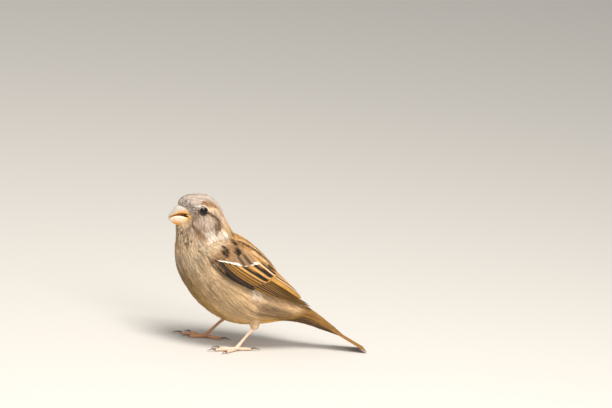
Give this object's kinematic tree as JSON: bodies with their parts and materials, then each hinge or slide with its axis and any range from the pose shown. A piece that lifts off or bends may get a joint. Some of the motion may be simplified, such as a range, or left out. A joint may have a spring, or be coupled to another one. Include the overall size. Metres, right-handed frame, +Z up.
{
  "type": "house sparrow",
  "caption": "Still, life-size female house sparrow standing on both feet and its tail tip, wings folded, bill slightly open.",
  "frame": {"origin": "on the floor under the middle of the bird's box", "axes": "+Z is up. The bird faces -Y, its tail points to +Y, and its left side is +X"},
  "size_m": [0.051, 0.1288, 0.0899],
  "materials": {
    "plumage": "soft matt body feathers in warm grey-buff, finely streaked",
    "wing_feathers": "dark brown flight feathers and coverts edged with orange-buff, with a thin whitish bar",
    "tail_feathers": "dull brown tail feathers with paler edges",
    "bill_upper": "satin horn, lilac-grey with an orange-brown cutting edge",
    "bill_lower": "satin horn, peach to orange, bright yellow at the gape",
    "tongue": "moist pink-brown",
    "eye": "glossy, nearly black brown",
    "legs": "smooth scaled skin, pinkish brown",
    "claws": "dark horn"
  },
  "bodies": {
    "root": {"head": "plumage", "neck": "plumage", "trunk": "plumage", "rump": "plumage", "thigh_left": "plumage", "thigh_right": "plumage", "bill_upper": "bill_upper", "bill_lower": "bill_lower", "tongue": "tongue", "eye_left": "eye", "eye_right": "eye", "wing_left_primaries": "wing_feathers", "wing_left_primary_coverts": "wing_feathers", "wing_left_secondaries": "wing_feathers", "wing_left_tertials": "wing_feathers", "wing_left_greater_coverts": "wing_feathers", "wing_left_median_coverts": "wing_feathers", "wing_left_lesser_coverts": "wing_feathers", "wing_left_scapulars": "wing_feathers", "wing_right_primaries": "wing_feathers", "wing_right_primary_coverts": "wing_feathers", "wing_right_secondaries": "wing_feathers", "wing_right_tertials": "wing_feathers", "wing_right_greater_coverts": "wing_feathers", "wing_right_median_coverts": "wing_feathers", "wing_right_lesser_coverts": "wing_feathers", "wing_right_scapulars": "wing_feathers", "tail": "tail_feathers", "tarsus_left": "legs", "toe_left_1": "legs", "toe_left_2": "legs", "toe_left_3": "legs", "toe_left_4": "legs", "tarsus_right": "legs", "toe_right_1": "legs", "toe_right_2": "legs", "toe_right_3": "legs", "toe_right_4": "legs", "claw_left_1": "claws", "claw_left_2": "claws", "claw_left_3": "claws", "claw_left_4": "claws", "claw_right_1": "claws", "claw_right_2": "claws", "claw_right_3": "claws", "claw_right_4": "claws"}
  },
  "joints": []
}
